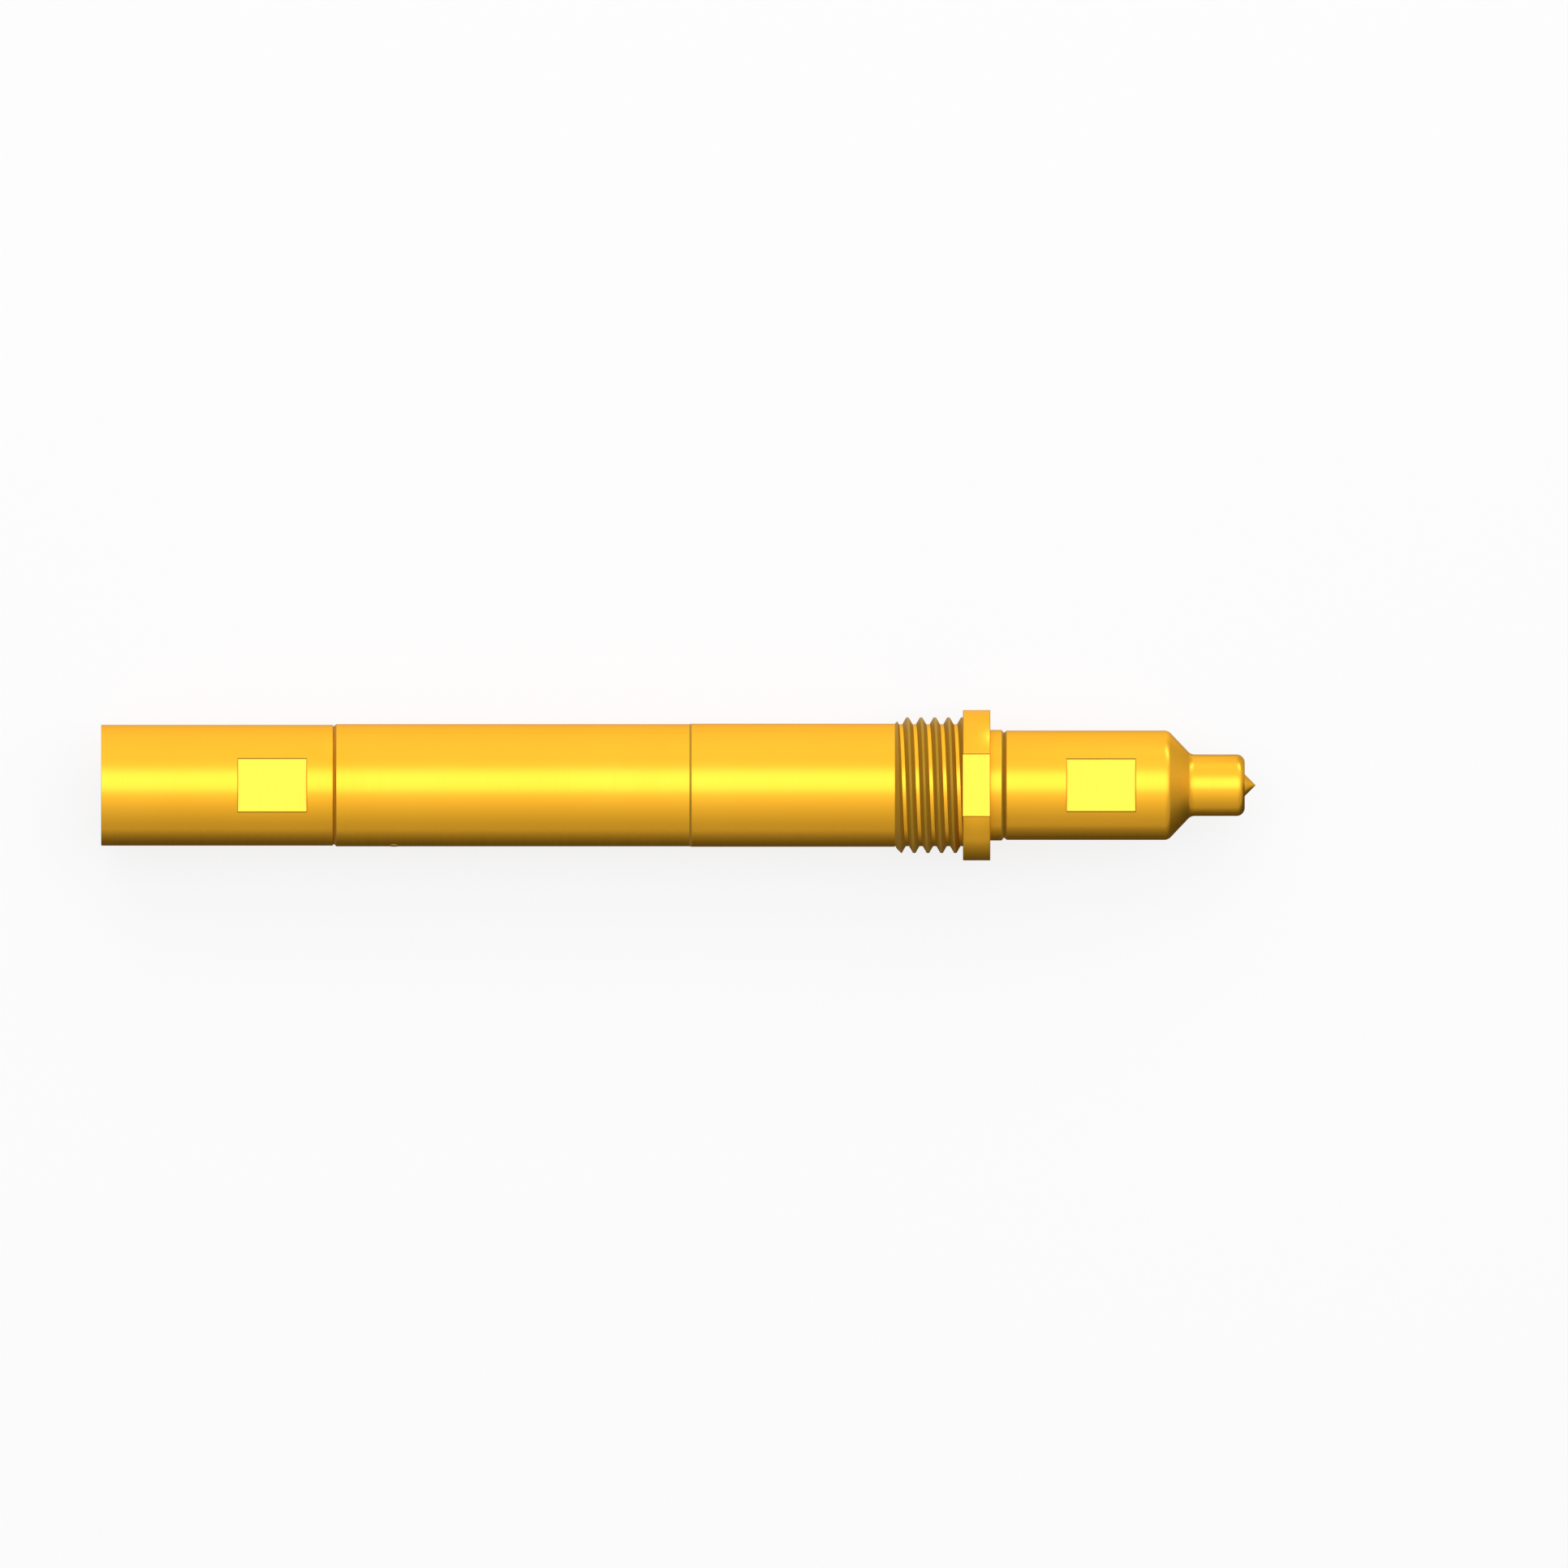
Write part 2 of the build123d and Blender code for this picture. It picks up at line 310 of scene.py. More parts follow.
finishes = {
    "gold_plating": [makeTurnedGold(), makeMilledHighlitGold(), makeShadedCutGold()],
    "bare_brass": [makeBareBrass()],
    "spring_steel": [makeSpringSteel()],
    "white_insulator": [makeWhiteInsulator()],
}
milledHighlitIndex, shadedCutIndex = 1, 2  # of the gold finishes
slots = {part["node"]: part["material_slot"] for part in frame["record"]["subparts"]}
print("finishes made")


# Shaping tools

touch = 1e-6  # millimetres within which a point lies on the axis or on a cut
merge = 1e-5  # within which corners are joined
samePlace = 1e-3  # within which two places are taken as one
square = 0.999  # cosine from which a face is square to an axis
rounds = {"large": 0.1, "largeSteps": 12, "smallSteps": 3}


# Rounds one corner of an outline; large rounds get more steps
def roundCorner(shape, corner, radius):
    towards = [edge.other_vert(corner).co - corner.co for edge in corner.link_edges]
    turn = math.pi - towards[0].angle(towards[1])
    bmesh.ops.bevel(
        shape,
        geom=[corner],
        offset=radius * math.tan(turn / 2),
        affect="VERTICES",
        segments=rounds["largeSteps"] if radius > rounds["large"] else rounds["smallSteps"],
        profile=0.5,
        material=-1,
    )


# Joins corners that lie on one spot, and turns the faces outwards
def cleaned(shape):
    bmesh.ops.remove_doubles(shape, verts=shape.verts, dist=merge)
    bmesh.ops.recalc_face_normals(shape, faces=shape.faces)
    return shape


# A turned blank: its outline is a list of (x, radius, round) corners, spun about the probe's axis
def turnBlank(outline, around=160):
    shape = bmesh.new()
    corners = [shape.verts.new((x, 0, radius)) for x, radius, rounding in outline]
    shape.faces.new(corners)
    for corner, (x, radius, rounding) in zip(corners, outline):
        if rounding:
            roundCorner(shape, corner, rounding)
    bmesh.ops.delete(shape, geom=shape.faces[:], context="FACES_ONLY")
    onAxis = [edge for edge in shape.edges if all(abs(vert.co.z) < touch for vert in edge.verts)]
    bmesh.ops.delete(shape, geom=onAxis, context="EDGES")
    bmesh.ops.spin(
        shape,
        geom=shape.verts[:] + shape.edges[:],
        cent=(0, 0, 0),
        axis=axisX,
        angle=2 * math.pi,
        steps=around,
        use_merge=True,
    )
    return cleaned(shape)


# A plain ring, from its two ends, radii and edge breaks, or a rod where the inner radius is 0
def turnRing(along, radii, edges, around=160):
    rear, front = along
    inner, outer = radii
    innerEdge, outerEdge = edges
    outline = [
        (rear, inner, innerEdge),
        (rear, outer, outerEdge),
        (front, outer, outerEdge),
        (front, inner, innerEdge),
    ]
    return turnBlank(outline, around)


# Cuts a shape at a plane square to the given direction, drops what lies beyond, and closes the cut
def trim(shape, point, direction):
    cut = bmesh.ops.bisect_plane(
        shape,
        geom=shape.verts[:] + shape.edges[:] + shape.faces[:],
        dist=touch,
        plane_co=point,
        plane_no=direction,
        clear_outer=True,
    )
    rim = [item for item in cut["geom_cut"] if isinstance(item, bmesh.types.BMEdge)]
    bmesh.ops.edgeloop_fill(shape, edges=rim)


# A block between two corners
def boxTool(low, high):
    shape = bmesh.new()
    bmesh.ops.create_cube(shape, size=1)
    size = [b - a for a, b in zip(low, high)]
    middle = [(a + b) / 2 for a, b in zip(low, high)]
    bmesh.ops.scale(shape, vec=size, verts=shape.verts)
    bmesh.ops.translate(shape, vec=middle, verts=shape.verts)
    return shape


# Two blocks that leave a pair of flats, facing up and down
def flatTools(start, end, halfAcross, reach=4):
    return [
        boxTool((start, -reach, halfAcross), (end, reach, halfAcross + reach)),
        boxTool((start, -reach, -halfAcross - reach), (end, reach, -halfAcross)),
    ]


def looseObject(shape, name):
    mesh = bpy.data.meshes.new(name)
    shape.to_mesh(mesh)
    shape.free()
    made = bpy.data.objects.new(name, mesh)
    bpy.context.scene.collection.objects.link(made)
    return made


# Cuts tools out of a blank, and closes the few slivers that the cut can leave open
def carve(blank, tools):
    body = looseObject(blank, "blank")
    cutters = [looseObject(tool, "cutter") for tool in tools]
    for cutter in cutters:
        cut = body.modifiers.new("cut", "BOOLEAN")
        cut.operation = "DIFFERENCE"
        cut.solver = "EXACT"
        cut.object = cutter
    graph = bpy.context.evaluated_depsgraph_get()
    carved = bmesh.new()
    carved.from_mesh(body.evaluated_get(graph).to_mesh())
    for used in [body, *cutters]:
        mesh = used.data
        bpy.data.objects.remove(used)
        bpy.data.meshes.remove(mesh)
    bmesh.ops.remove_doubles(carved, verts=carved.verts, dist=merge)
    gaps = [edge for edge in carved.edges if edge.is_boundary]
    bmesh.ops.holes_fill(carved, edges=gaps, sides=4)
    return carved


def bevelEdges(shape, edges, width, steps):
    made = bmesh.ops.bevel(
        shape,
        geom=edges,
        offset=width,
        affect="EDGES",
        segments=steps,
        profile=0.5,
        material=-1,
        clamp_overlap=True,
    )
    return made["faces"]


# Breaks edges of a gold piece, and paints the breaks with the dark cut gold as painted shade lines
def breakAndShadeEdges(shape, edges, width):
    for face in bevelEdges(shape, edges, width, steps=2):
        face.material_index = shadedCutIndex


# Gives the flats their milled finish, with its painted highlight tint, and finds the edges round them
# that stand out
def finishFlats(shape, start, end, halfAcross):
    def isFlat(face):
        middle = face.calc_center_median()
        level = abs(abs(middle.z) - halfAcross) < samePlace and abs(face.normal.z) > square
        return level and start - samePlace < middle.x < end + samePlace

    def isWall(face):
        middle = face.calc_center_median()
        atEnd = min(abs(middle.x - start), abs(middle.x - end)) < samePlace
        return atEnd and abs(face.normal.x) > square and abs(middle.z) > halfAcross

    for face in filter(isFlat, shape.faces):
        face.material_index = milledHighlitIndex
    outer = [rim for rim in shape.edges if len(rim.link_faces) == 2 and rim.is_convex]
    return [rim for rim in outer if any(isFlat(face) or isWall(face) for face in rim.link_faces)]


# Rings of edges just outside a pair of flats, which keep the shading of their corners close to them
def addRings(shape, start, end, gap=0.1):
    for place in (start - gap, end + gap):
        bmesh.ops.bisect_plane(
            shape,
            geom=shape.verts[:] + shape.edges[:] + shape.faces[:],
            dist=touch,
            plane_co=(place, 0, 0),
            plane_no=axisX,
        )


# Mills a pair of flats into a blank, finishes them and breaks their edges, with painted shade lines on
# the breaks
def millFlats(blank, piece, rings=True):
    start, end, halfAcross = piece["flatStart"], piece["flatEnd"], piece["flatHalfAcross"]
    shape = carve(blank, flatTools(start, end, halfAcross))
    if rings:
        addRings(shape, start, end)
    breakAndShadeEdges(shape, finishFlats(shape, start, end, halfAcross), piece["flatEdge"])
    return shape


# Paints the dark cut gold, as painted shade, on what lies between two places along the axis and outside
# a radius
def paintCutShade(shape, start, end, inner):
    for face in shape.faces:
        middle = face.calc_center_median()
        if start < middle.x < end and math.hypot(middle.y, middle.z) > inner:
            face.material_index = shadedCutIndex


# A finished piece in metres, which stands for its CAD node
def finishPiece(name, node, body, shape, smoothAngle=24):
    bmesh.ops.scale(shape, vec=(mm, mm, mm), verts=shape.verts)
    piece = looseObject(shape, name)
    for material in finishes[slots[node]]:
        piece.data.materials.append(material)
    piece.data.shade_smooth()
    piece.data.set_sharp_from_angle(angle=math.radians(smoothAngle))
    even = piece.modifiers.new("evenShading", "WEIGHTED_NORMAL")
    even.keep_sharp = True
    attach(piece, body)
    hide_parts(node)
    print(name, len(piece.data.polygons), "faces")
    return piece


# Barrel with its thread and flange

barrel = {
    "bore": 2.05,
    "tail": 2.235,
    "tailEdge": (0.1, 0.08),  # along and across the chamfer at the rear joint
    "shank": 2.25,
    "shankEnd": -10.0,
    "stepRamp": 0.085,
    "flange": 2.75,
    "flatHalfAcross": 2.5,
    "flatEdge": 0.05,
    "sharpFrom": 0.3,  # radians from which an edge of the flange is broken
    "edge": 0.03,
    "fineEdge": 0.012,
    "around": 168,  # leaves room on both sides of the flats' corners for their edge breaks
    "overrun": 0.5,  # of the cutters past the surface
}
thread = {
    "end": -2.49,
    "chamfer": 0.23,
    "crest": 2.48,
    "root": 2.2295,
    "rootFlat": 0.125,
    "rootBand": 0.01,  # above the root, what stays bright
    "pitch": 0.5,
    "flankAngle": 30.0,
    "phase": -0.28,  # a groove's middle on the +Y side
    "overrun": 0.04,  # of the cutter past the crest
    "spareTurns": (1, 2),  # wound past the thread's rear and front ends, and trimmed off
    "around": 96,
}


# Cutter for the right-hand thread: a groove's section wound along the axis, trimmed to the thread
def threadTool():
    t = thread
    outer = t["crest"] + t["overrun"]
    halfRoot = t["rootFlat"] / 2
    halfOuter = halfRoot + (outer - t["root"]) * math.tan(math.radians(t["flankAngle"]))
    section = [(-halfOuter, outer), (-halfRoot, t["root"]), (halfRoot, t["root"]), (halfOuter, outer)]
    spareRear, spareFront = t["spareTurns"]
    turns = math.ceil(-t["end"] / t["pitch"]) + spareRear + spareFront
    middle = t["phase"] - (turns - spareFront) * t["pitch"]
    shape = bmesh.new()
    face = shape.faces.new([shape.verts.new((middle + x, radius, 0)) for x, radius in section])
    bmesh.ops.spin(
        shape,
        geom=[face],
        cent=(0, 0, 0),
        axis=axisX,
        dvec=(t["pitch"] / t["around"], 0, 0),
        angle=2 * math.pi * turns,
        steps=turns * t["around"],
    )
    cleaned(shape)
    trim(shape, (0, 0, 0), (1, 0, 0))
    trim(shape, (t["end"], 0, 0), (-1, 0, 0))
    return cleaned(shape)


bushPin = {
    "offset": 2.2,  # from the barrel's rear end
    "angle": 8.6,  # degrees up from the -Y side
    "radius": 0.2,
    "depth": 0.4,  # into the bush
    "proud": 0.012,
    "edge": 0.03,
}


# A short bar at the bush pin's place, between two distances from the axis
def crossBar(inner, outer):
    p = bushPin
    shape = bmesh.new()
    bmesh.ops.create_cone(
        shape,
        cap_ends=True,
        segments=48,
        radius1=p["radius"],
        radius2=p["radius"],
        depth=outer - inner,
    )
    bmesh.ops.translate(shape, vec=(0, 0, (inner + outer) / 2), verts=shape.verts)
    tilt = Matrix.Rotation(math.radians(90 - p["angle"]), 3, "X")
    bmesh.ops.rotate(shape, cent=(0, 0, 0), matrix=tilt, verts=shape.verts)
    bmesh.ops.translate(shape, vec=(ends("barrel")[0] + p["offset"], 0, 0), verts=shape.verts)
    return shape


# The flange's edges, apart from the flats' rear ones, which lie close to the thread's crest
def flangeEdges(shape, front):
    def isSide(face):
        middle = face.calc_center_median()
        outside = math.hypot(middle.y, middle.z) > thread["crest"]
        return outside and samePlace < middle.x < front - samePlace

    def isSpared(rim):
        heights = [abs(vert.co.z) for vert in rim.verts if abs(vert.co.x) < samePlace]
        onFlat = [height for height in heights if abs(height - barrel["flatHalfAcross"]) < samePlace]
        return len(onFlat) == 2

    closed = [rim for rim in shape.edges if len(rim.link_faces) == 2]
    sharp = [rim for rim in closed if rim.is_convex and rim.calc_face_angle() > barrel["sharpFrom"]]
    return [rim for rim in sharp if any(map(isSide, rim.link_faces)) and not isSpared(rim)]


def makeBarrel():
    b = barrel
    rear, front = ends("barrel")
    along, across = b["tailEdge"]
    stepEnd = b["shankEnd"] + b["stepRamp"]
    blank = turnBlank(
        [
            (rear, b["bore"], b["fineEdge"]),
            (rear, b["tail"] - across, b["fineEdge"]),
            (rear + along, b["tail"], b["fineEdge"]),
            (b["shankEnd"], b["tail"], 0),
            (stepEnd, b["shank"], 0),
            (thread["end"], b["shank"], 0),
            (thread["end"] + thread["chamfer"], thread["crest"], 0),
            (0, thread["crest"], 0),
            (0, b["flange"], 0),
            (front, b["flange"], 0),
            (front, b["bore"], b["edge"]),
        ],
        around=b["around"],
    )
    hole = crossBar(b["bore"] - b["overrun"], b["tail"] + b["overrun"])
    flats = flatTools(-b["overrun"], front + b["overrun"], b["flatHalfAcross"])
    shape = carve(blank, [threadTool(), hole, *flats])
    finishFlats(shape, 0, front, b["flatHalfAcross"])
    breakAndShadeEdges(shape, flangeEdges(shape, front), b["flatEdge"])
    # Painted shade in the dark cut gold: on the thread's flanks and crests, the step's ramp and the
    # rear chamfer
    paintCutShade(shape, thread["end"], 0, thread["root"] + thread["rootBand"])
    paintCutShade(shape, b["shankEnd"], stepEnd, b["bore"] + b["edge"])
    paintCutShade(shape, rear + b["fineEdge"], rear + along, b["bore"] + b["edge"])
    finishPiece("threadedBarrel", "barrel", "barrel", shape)


makeBarrel()


def makeBushPin():
    p = bushPin
    shape = crossBar(barrel["bore"] - p["depth"], barrel["tail"] + p["proud"])
    outside = min(shape.faces, key=lambda face: face.calc_center_median().y)
    bevelEdges(shape, outside.edges[:], p["edge"], steps=3)
    finishPiece("bushPin", "bush_pin", "barrel", shape)


makeBushPin()

# Rear guide bush with its double-D bore

guideBush = {"bore": 1.5, "keyHalfAcross": 1.425, "edge": 0.04, "overrun": 1}


def makeGuideBush():
    g = guideBush
    rear, front = ends("rear_guide_bush")
    blank = turnRing((rear, front), (0, halfWidth("rear_guide_bush")), (0, g["edge"]))
    keyed = turnRing((rear - g["overrun"], front + g["overrun"]), (0, g["bore"]), (0, 0))
    trim(keyed, (0, 0, g["keyHalfAcross"]), (0, 0, 1))
    trim(keyed, (0, 0, -g["keyHalfAcross"]), (0, 0, -1))
    hole = crossBar(barrel["bore"] - bushPin["depth"], barrel["bore"] + barrel["overrun"])
    shape = carve(blank, [cleaned(keyed), hole])
    finishPiece("guideBush", "rear_guide_bush", "barrel", shape)


makeGuideBush()

# Plunger

head = {
    "bore": 1.475,
    "boreDepth": 2.9,
    "insulatorBore": 1.325,
    "insulatorStep": 6.6,
    "noseBore": 0.785,
    "radius": 2.0,
    "rearEdge": (0.1, 0.08),  # along and across the chamfer
    "shoulder": 7.5,
    "shoulderLength": 0.83,
    "shoulderRound": 0.3,
    "nose": 1.125,
    "noseRound": 0.3,
    "flatStart": 3.8,
    "flatEnd": 6.3,
    "flatHalfAcross": 1.75,
    "flatEdge": 0.05,
    "edge": 0.02,
    "around": 118,  # as on the barrel
}


def makeHead():
    h = head
    rear, front = ends("plunger_head")
    along, across = h["rearEdge"]
    boreEnd = rear + h["boreDepth"]
    blank = turnBlank(
        [
            (rear, h["bore"], 0),
            (rear, h["radius"] - across, h["edge"]),
            (rear + along, h["radius"], h["edge"]),
            (h["shoulder"], h["radius"], h["shoulderRound"]),
            (h["shoulder"] + h["shoulderLength"], h["nose"], h["shoulderRound"]),
            (front, h["nose"], h["noseRound"]),
            (front, h["noseBore"], h["edge"]),
            (h["insulatorStep"], h["noseBore"], 0),
            (h["insulatorStep"], h["insulatorBore"], 0),
            (boreEnd, h["insulatorBore"], 0),
            (boreEnd, h["bore"], 0),
        ],
        around=h["around"],
    )
    shape = millFlats(blank, h)
    # Painted shade in the dark cut gold on the rear chamfer
    paintCutShade(shape, rear, rear + along, h["bore"] + h["edge"])
    finishPiece("probeHead", "plunger_head", "coax_plunger", shape)


makeHead()

sleeve = {"bore": 1.475, "frontEdge": (0.09, 0.105), "rearEdge": 0.04, "edge": 0.015}


def makeSleeve():
    s = sleeve
    rear, front = ends("guide_sleeve")
    outer = halfWidth("guide_sleeve")
    along, across = s["frontEdge"]
    shape = turnBlank(
        [
            (rear, s["bore"], 0),
            (rear, outer, s["rearEdge"]),
            (front - along, outer, s["edge"]),
            (front, outer - across, s["edge"]),
            (front, s["bore"], 0),
        ],
        around=192,
    )
    # Painted shade in the dark cut gold on the front chamfer
    paintCutShade(shape, front - along, front, s["bore"] + s["rearEdge"])
    finishPiece("guideSleeve", "guide_sleeve", "coax_plunger", shape)


makeSleeve()

# Core tube, with the two flats that run in the guide bush

coreTube = {
    "bore": 1.175,
    "flatStart": -23.0,
    "flatEnd": -14.8,
    "flatHalfAcross": 1.4,
    "flatEdge": 0.02,
    "edge": 0.02,
}


def makeCoreTube():
    t = coreTube
    blank = turnRing(ends("core_tube"), (t["bore"], halfWidth("core_tube")), (t["edge"], t["edge"]))
    finishPiece("coreTube", "core_tube", "coax_plunger", millFlats(blank, t, rings=False))


makeCoreTube()

# Rear connector

connector = {
    "radius": 2.21,
    "frontEdge": (0.04, 0.06),
    "jack": 1.8,
    "jackDepth": 4.1,
    "mouth": (0.15, 0.12),  # along and across the lead-in
    "groove": (1.1, 0.6, 0.18),  # from the mouth, length and depth of the snap groove
    "grooveEdge": 0.03,
    "landEdge": 0.02,
    "socketBore": 1.475,
    "flatStart": -26.5,
    "flatEnd": -24.0,
    "flatHalfAcross": 1.98,
    "flatEdge": 0.05,
    "edge": 0.03,
    "fineEdge": 0.01,
    "around": 130,  # as on the barrel
}


def makeConnectorShell():
    c = connector
    rear, front = ends("connector_shell")
    along, across = c["frontEdge"]
    mouthAlong, mouthAcross = c["mouth"]
    grooveOffset, grooveLength, grooveDepth = c["groove"]
    grooveStart = rear + grooveOffset
    grooveEnd = grooveStart + grooveLength
    grooveFloor = c["jack"] + grooveDepth
    floor = rear + c["jackDepth"]
    blank = turnBlank(
        [
            (rear, c["jack"] + mouthAcross, c["fineEdge"]),
            (rear, c["radius"], c["edge"]),
            (front - along, c["radius"], c["fineEdge"]),
            (front, c["radius"] - across, c["fineEdge"]),
            (front, c["socketBore"], 0),
            (floor, c["socketBore"], 0),
            (floor, c["jack"], 0),
            (grooveEnd, c["jack"], c["landEdge"]),
            (grooveEnd, grooveFloor, c["grooveEdge"]),
            (grooveStart, grooveFloor, c["grooveEdge"]),
            (grooveStart, c["jack"], c["landEdge"]),
            (rear + mouthAlong, c["jack"], c["landEdge"]),
        ],
        around=c["around"],
    )
    finishPiece("connectorShell", "connector_shell", "coax_plunger", millFlats(blank, c))


makeConnectorShell()

# Slotted socket in the rear jack

socket = {
    "bore": 0.26,
    "boreEdge": 0.04,
    "depth": 2.2,
    "drillPoint": 0.12,
    "edge": 0.08,
    "stem": 0.3,
    "stemEdge": 0.02,
    "slotWidth": 0.12,
    "slotLength": 1.8,
    "overrun": 1,
}


def makeCentreContact():
    s = socket
    rear, stemEnd = ends("centre_contact")
    outer = halfWidth("centre_contact")
    floor = ends("connector_insulator")[0]
    blank = turnBlank(
        [
            (rear, s["bore"], s["boreEdge"]),
            (rear, outer, s["edge"]),
            (floor, outer, s["stemEdge"]),
            (floor, s["stem"], 0),
            (stemEnd, s["stem"], s["stemEdge"]),
            (stemEnd, 0, 0),
            (rear + s["depth"] + s["drillPoint"], 0, 0),
            (rear + s["depth"], s["bore"], 0),
        ],
        around=128,
    )
    half = s["slotWidth"] / 2
    reach = s["overrun"]
    low, high = rear - reach, rear + s["slotLength"]
    flatSlot = boxTool((low, -reach, -half), (high, reach, half))
    uprightSlot = boxTool((low, -half, -reach), (high, half, reach))
    shape = carve(blank, [flatSlot, uprightSlot])
    finishPiece("slottedSocket", "centre_contact", "coax_plunger", shape)


makeCentreContact()

# White rings: the jack's insulator, and further down the beads

whiteEdges = (0.02, 0.03)  # at the bore and outside


def makeConnectorInsulator():
    node = "connector_insulator"
    shape = turnRing(ends(node), (socket["stem"], halfWidth(node)), whiteEdges)
    finishPiece("jackInsulator", node, "coax_plunger", shape)


makeConnectorInsulator()

# The coaxial line's rod, with a hole in each end for a contact's stem, and the beads that hold it

line = {"stubHole": 1.1, "stub": 0.3, "edge": 0.02}


def makeInnerConductor():
    rear, front = ends("inner_conductor")
    radius = halfWidth("inner_conductor")
    hole, stub, edge = line["stubHole"], line["stub"], line["edge"]
    shape = turnBlank(
        [
            (rear, stub, edge),
            (rear, radius, edge),
            (front, radius, edge),
            (front, stub, edge),
            (front - hole, stub, 0),
            (front - hole, 0, 0),
            (rear + hole, 0, 0),
            (rear + hole, stub, 0),
        ],
        around=96,
    )
    finishPiece("lineRod", "inner_conductor", "coax_plunger", shape)


makeInnerConductor()


def makeBead(place):
    node = "support_bead_" + place
    radii = (halfWidth("inner_conductor"), halfWidth(node))
    shape = turnRing(ends(node), radii, whiteEdges, around=96)
    finishPiece(place + "Bead", node, "coax_plunger", shape)


for place in ("rear", "middle", "front"):
    makeBead(place)

# Thrust washers at the return spring's ends

washer = {"clearance": 0.05, "edge": 0.03}


def makeWasher(place, body):
    node = "spring_washer_" + place
    radii = (halfWidth("core_tube") + washer["clearance"], halfWidth(node))
    shape = turnRing(ends(node), radii, (washer["edge"], washer["edge"]), around=96)
    finishPiece(place + "Washer", node, body, shape)


makeWasher("rear", "barrel")
makeWasher("front", "coax_plunger")

# Nose

nose = {
    "contactOuter": 0.55,
    "contactBore": 0.475,
    "lip": 0.42,
    "lipLength": 0.25,
    "floor": 0.6,
    "edge": 0.02,
}


def makeNoseInsulator():
    n = nose
    rear, front = ends("front_insulator")
    outer = halfWidth("front_insulator")
    lineFront = ends("inner_conductor")[1]
    lineRadius = halfWidth("inner_conductor")
    shape = turnBlank(
        [
            (rear, lineRadius, 0),
            (rear, outer, n["edge"]),
            (head["insulatorStep"], outer, 0),
            (head["insulatorStep"], head["noseBore"], 0),
            (front, head["noseBore"], n["edge"]),
            (front, n["contactOuter"], n["edge"]),
            (lineFront, n["contactOuter"], 0),
            (lineFront, lineRadius, 0),
        ],
        around=128,
    )
    finishPiece("noseInsulator", "front_insulator", "coax_plunger", shape)


makeNoseInsulator()


def makeContactBarrel():
    n = nose
    rear, front = ends("contact_barrel")
    lineFront = ends("inner_conductor")[1]
    floor = lineFront + n["floor"]
    lip = front - n["lipLength"]
    shape = turnBlank(
        [
            (rear, 0, 0),
            (rear, line["stub"], n["edge"]),
            (lineFront, line["stub"], 0),
            (lineFront, n["contactOuter"], n["edge"]),
            (front, n["contactOuter"], n["edge"]),
            (front, n["lip"], n["edge"]),
            (lip, n["lip"], 0),
            (lip, n["contactBore"], 0),
            (floor, n["contactBore"], 0),
            (floor, 0, 0),
        ],
        around=128,
    )
    finishPiece("contactBarrel", "contact_barrel", "coax_plunger", shape)


makeContactBarrel()

contactPin = {"radius": 0.4, "collarLength": 0.7, "pointBreak": 0.018, "edge": 0.02}


# The pin's point is a right-angled cone, broken a little at its tip.
def makeContactPin():
    p = contactPin
    rear, tip = ends("contact_pin")
    collar = halfWidth("contact_pin")
    collarEnd = rear + p["collarLength"]
    shape = turnBlank(
        [
            (rear, 0, 0),
            (rear, collar, p["edge"]),
            (collarEnd, collar, p["edge"]),
            (collarEnd, p["radius"], 0),
            (tip - p["radius"], p["radius"], p["edge"]),
            (tip - p["pointBreak"], p["pointBreak"], p["edge"]),
            (tip, 0, 0),
        ],
        around=128,
    )
    finishPiece("contactPin", "contact_pin", "contact_tip", shape)


makeContactPin()
print("turned pieces made")

# Springs, of round wire on a smooth helix, with the turns and ends of the solids that they stand for

returnSpring = {"wire": 0.355, "turns": 8}
contactSpring = {"wire": 0.1, "turns": 7}


def windSpring(node, wire, turns, around=48, section=14):
    start, end = ends(node)
    inner = wire / 2
    middle = halfWidth(node) - inner
    pitch = (end - start) / turns
    spare = 0.25  # turns wound past each end and ground off
    shape = bmesh.new()
    bmesh.ops.create_circle(shape, cap_ends=True, segments=section, radius=inner)
    first = (start - spare * pitch, middle, 0)
    back = Matrix.Rotation(-2 * math.pi * spare, 3, "X")
    bmesh.ops.translate(shape, vec=first, verts=shape.verts)
    bmesh.ops.rotate(shape, cent=(0, 0, 0), matrix=back, verts=shape.verts)
    steps = round((turns + 2 * spare) * around)
    bmesh.ops.spin(
        shape,
        geom=shape.faces[:],
        cent=(0, 0, 0),
        axis=axisX,
        dvec=(pitch / around, 0, 0),
        angle=2 * math.pi * steps / around,
        steps=steps,
    )
    cleaned(shape)
    trim(shape, (start, 0, 0), (-1, 0, 0))
    trim(shape, (end, 0, 0), (1, 0, 0))
    return cleaned(shape)


def makeReturnSpring():
    shape = windSpring("return_spring", **returnSpring)
    piece = finishPiece("returnSpring", "return_spring", "barrel", shape, smoothAngle=50)
    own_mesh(piece)


makeReturnSpring()


def makeContactSpring():
    shape = windSpring("contact_spring", **contactSpring)
    piece = finishPiece("contactSpring", "contact_spring", "coax_plunger", shape, smoothAngle=50)
    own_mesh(piece)


makeContactSpring()
print("springs made")

# Floor; from here on, sizes are in metres

floorLook = {"colour": (0.92, 0.92, 0.92), "size": 1.5, "whitening": 0.82}


def calculate(nodes, links, operation, *values):
    step = nodes.new("ShaderNodeMath")
    step.operation = operation
    for entry, value in zip(step.inputs, values):
        if isinstance(value, (int, float)):
            entry.default_value = value
        else:
            links.new(value, entry)
    return step.outputs["Value"]


